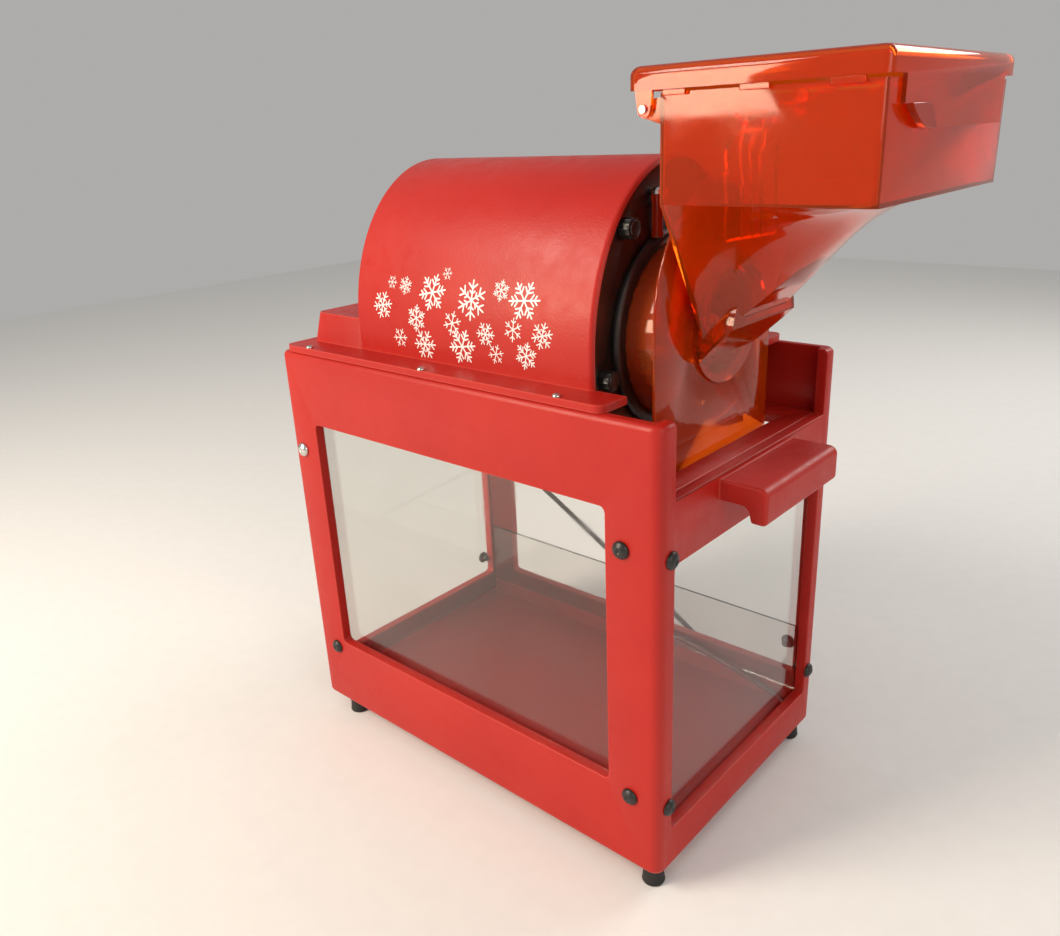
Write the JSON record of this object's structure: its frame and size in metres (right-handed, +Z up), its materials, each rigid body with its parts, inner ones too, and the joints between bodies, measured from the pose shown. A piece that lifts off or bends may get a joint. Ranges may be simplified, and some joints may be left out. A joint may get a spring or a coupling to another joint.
{
  "type": "shaved ice machine",
  "caption": "Table-top ice shaver: red windowed cabinet, motor under a domed cover, clear orange shaver drum and a lidded ice hopper.",
  "frame": {"origin": "centre of the machine's footprint, on the surface that its feet stand on", "axes": "+Z up, +X from the motor end towards the hopper, +Y towards the operator's side with the serving hatch"},
  "size_m": [0.6766, 0.4412, 0.7612],
  "materials": {
    "cabinet_red": "satin rotomoulded polyethylene with a fine pebble",
    "orange_clear": "clear orange-red polycarbonate, glossy",
    "clear_pane": "clear acrylic sheet, glossy",
    "black_plastic": "moulded black plastic, semi-gloss",
    "black_rubber": "black rubber, dull",
    "bright_steel": "polished stainless steel",
    "dark_steel": "dark coated steel",
    "motor_paint": "dark grey machine paint",
    "copper_winding": "varnished copper winding",
    "red_hose": "dark red flexible tubing"
  },
  "bodies": {
    "root": {"baffle_block": "orange_clear", "baffle_pin": "bright_steel", "cabinet_shell": "cabinet_red", "cord_coil": "black_rubber", "cord_strain_relief": "black_rubber", "cover_screw_1": "bright_steel", "cover_screw_2": "bright_steel", "cover_screw_3": "bright_steel", "cutting_ring": "orange_clear", "drain_elbow": "black_plastic", "drain_hose": "red_hose", "drum_clamp_ring": "black_plastic", "end_pane_pin_1": "black_plastic", "end_pane_pin_2": "black_plastic", "end_pane_pin_3": "black_plastic", "end_pane_pin_4": "black_plastic", "foot_hopper_front": "black_rubber", "foot_hopper_operator": "black_rubber", "foot_rear_front": "black_rubber", "foot_rear_operator": "black_rubber", "front_pane_pin_1": "bright_steel", "front_pane_pin_2": "black_plastic", "front_pane_pin_3": "black_plastic", "front_pane_pin_4": "black_plastic", "front_window": "clear_pane", "head_plate": "dark_steel", "hopper": "orange_clear", "hopper_end_window": "clear_pane", "ice_guard": "orange_clear", "lid_hinge_rod": "bright_steel", "machinery_deck": "cabinet_red", "motor_casing": "motor_paint", "motor_cover": "cabinet_red", "motor_front_bell": "motor_paint", "motor_rear_bell": "motor_paint", "motor_saddle": "dark_steel", "motor_stator": "copper_winding", "power_cord": "black_rubber", "power_plug": "black_plastic", "rear_end_window": "clear_pane", "serving_hatch_panel": "clear_pane", "shaft_bearing": "bright_steel", "shaver_blade_1": "bright_steel", "shaver_blade_2": "bright_steel", "shaver_blade_3": "bright_steel", "shaver_housing": "orange_clear", "switch_body": "black_plastic"},
    "rotor": {"motor_shaft": "bright_steel", "motor_armature": "dark_steel", "cooling_fan": "black_plastic", "cutter_rotor": "bright_steel", "rotor_nut": "bright_steel"},
    "lid": {"hopper_lid": "orange_clear"},
    "baffle": {"feed_baffle": "bright_steel"},
    "rocker": {"switch_rocker": "black_plastic"},
    "knob_1": {"clamp_knob_1": "black_plastic"},
    "knob_2": {"clamp_knob_2": "black_plastic"},
    "knob_3": {"clamp_knob_3": "black_plastic"},
    "knob_4": {"clamp_knob_4": "black_plastic"}
  },
  "joints": [
    {"name": "rotor_spin", "type": "hinge", "parent": "root", "child": "rotor", "pos_m": [0.0952, 0, 0.531], "axis": [1, 0, 0], "continuous": true},
    {"name": "lid_hinge", "type": "hinge", "parent": "root", "child": "lid", "pos_m": [0.1512, 0, 0.73], "axis": [0, -1, 0], "range_deg": [0, 100]},
    {"name": "baffle_swing", "type": "hinge", "parent": "root", "child": "baffle", "pos_m": [0.1752, 0, 0.724], "axis": [0, -1, 0], "range_deg": [0, 35]},
    {"name": "switch_rock", "type": "hinge", "parent": "root", "child": "rocker", "pos_m": [-0.2318, 0.0685, 0.589], "axis": [0, 1, 0], "range_deg": [0, 18]},
    {"name": "knob_1_turn", "type": "hinge", "parent": "root", "child": "knob_1", "pos_m": [0.092, -0.0785, 0.6345], "axis": [1, 0, 0], "continuous": true},
    {"name": "knob_2_turn", "type": "hinge", "parent": "root", "child": "knob_2", "pos_m": [0.092, -0.1115, 0.504], "axis": [1, 0, 0], "continuous": true},
    {"name": "knob_3_turn", "type": "hinge", "parent": "root", "child": "knob_3", "pos_m": [0.092, 0.0785, 0.6345], "axis": [1, 0, 0], "continuous": true},
    {"name": "knob_4_turn", "type": "hinge", "parent": "root", "child": "knob_4", "pos_m": [0.092, 0.1115, 0.504], "axis": [1, 0, 0], "continuous": true}
  ]
}
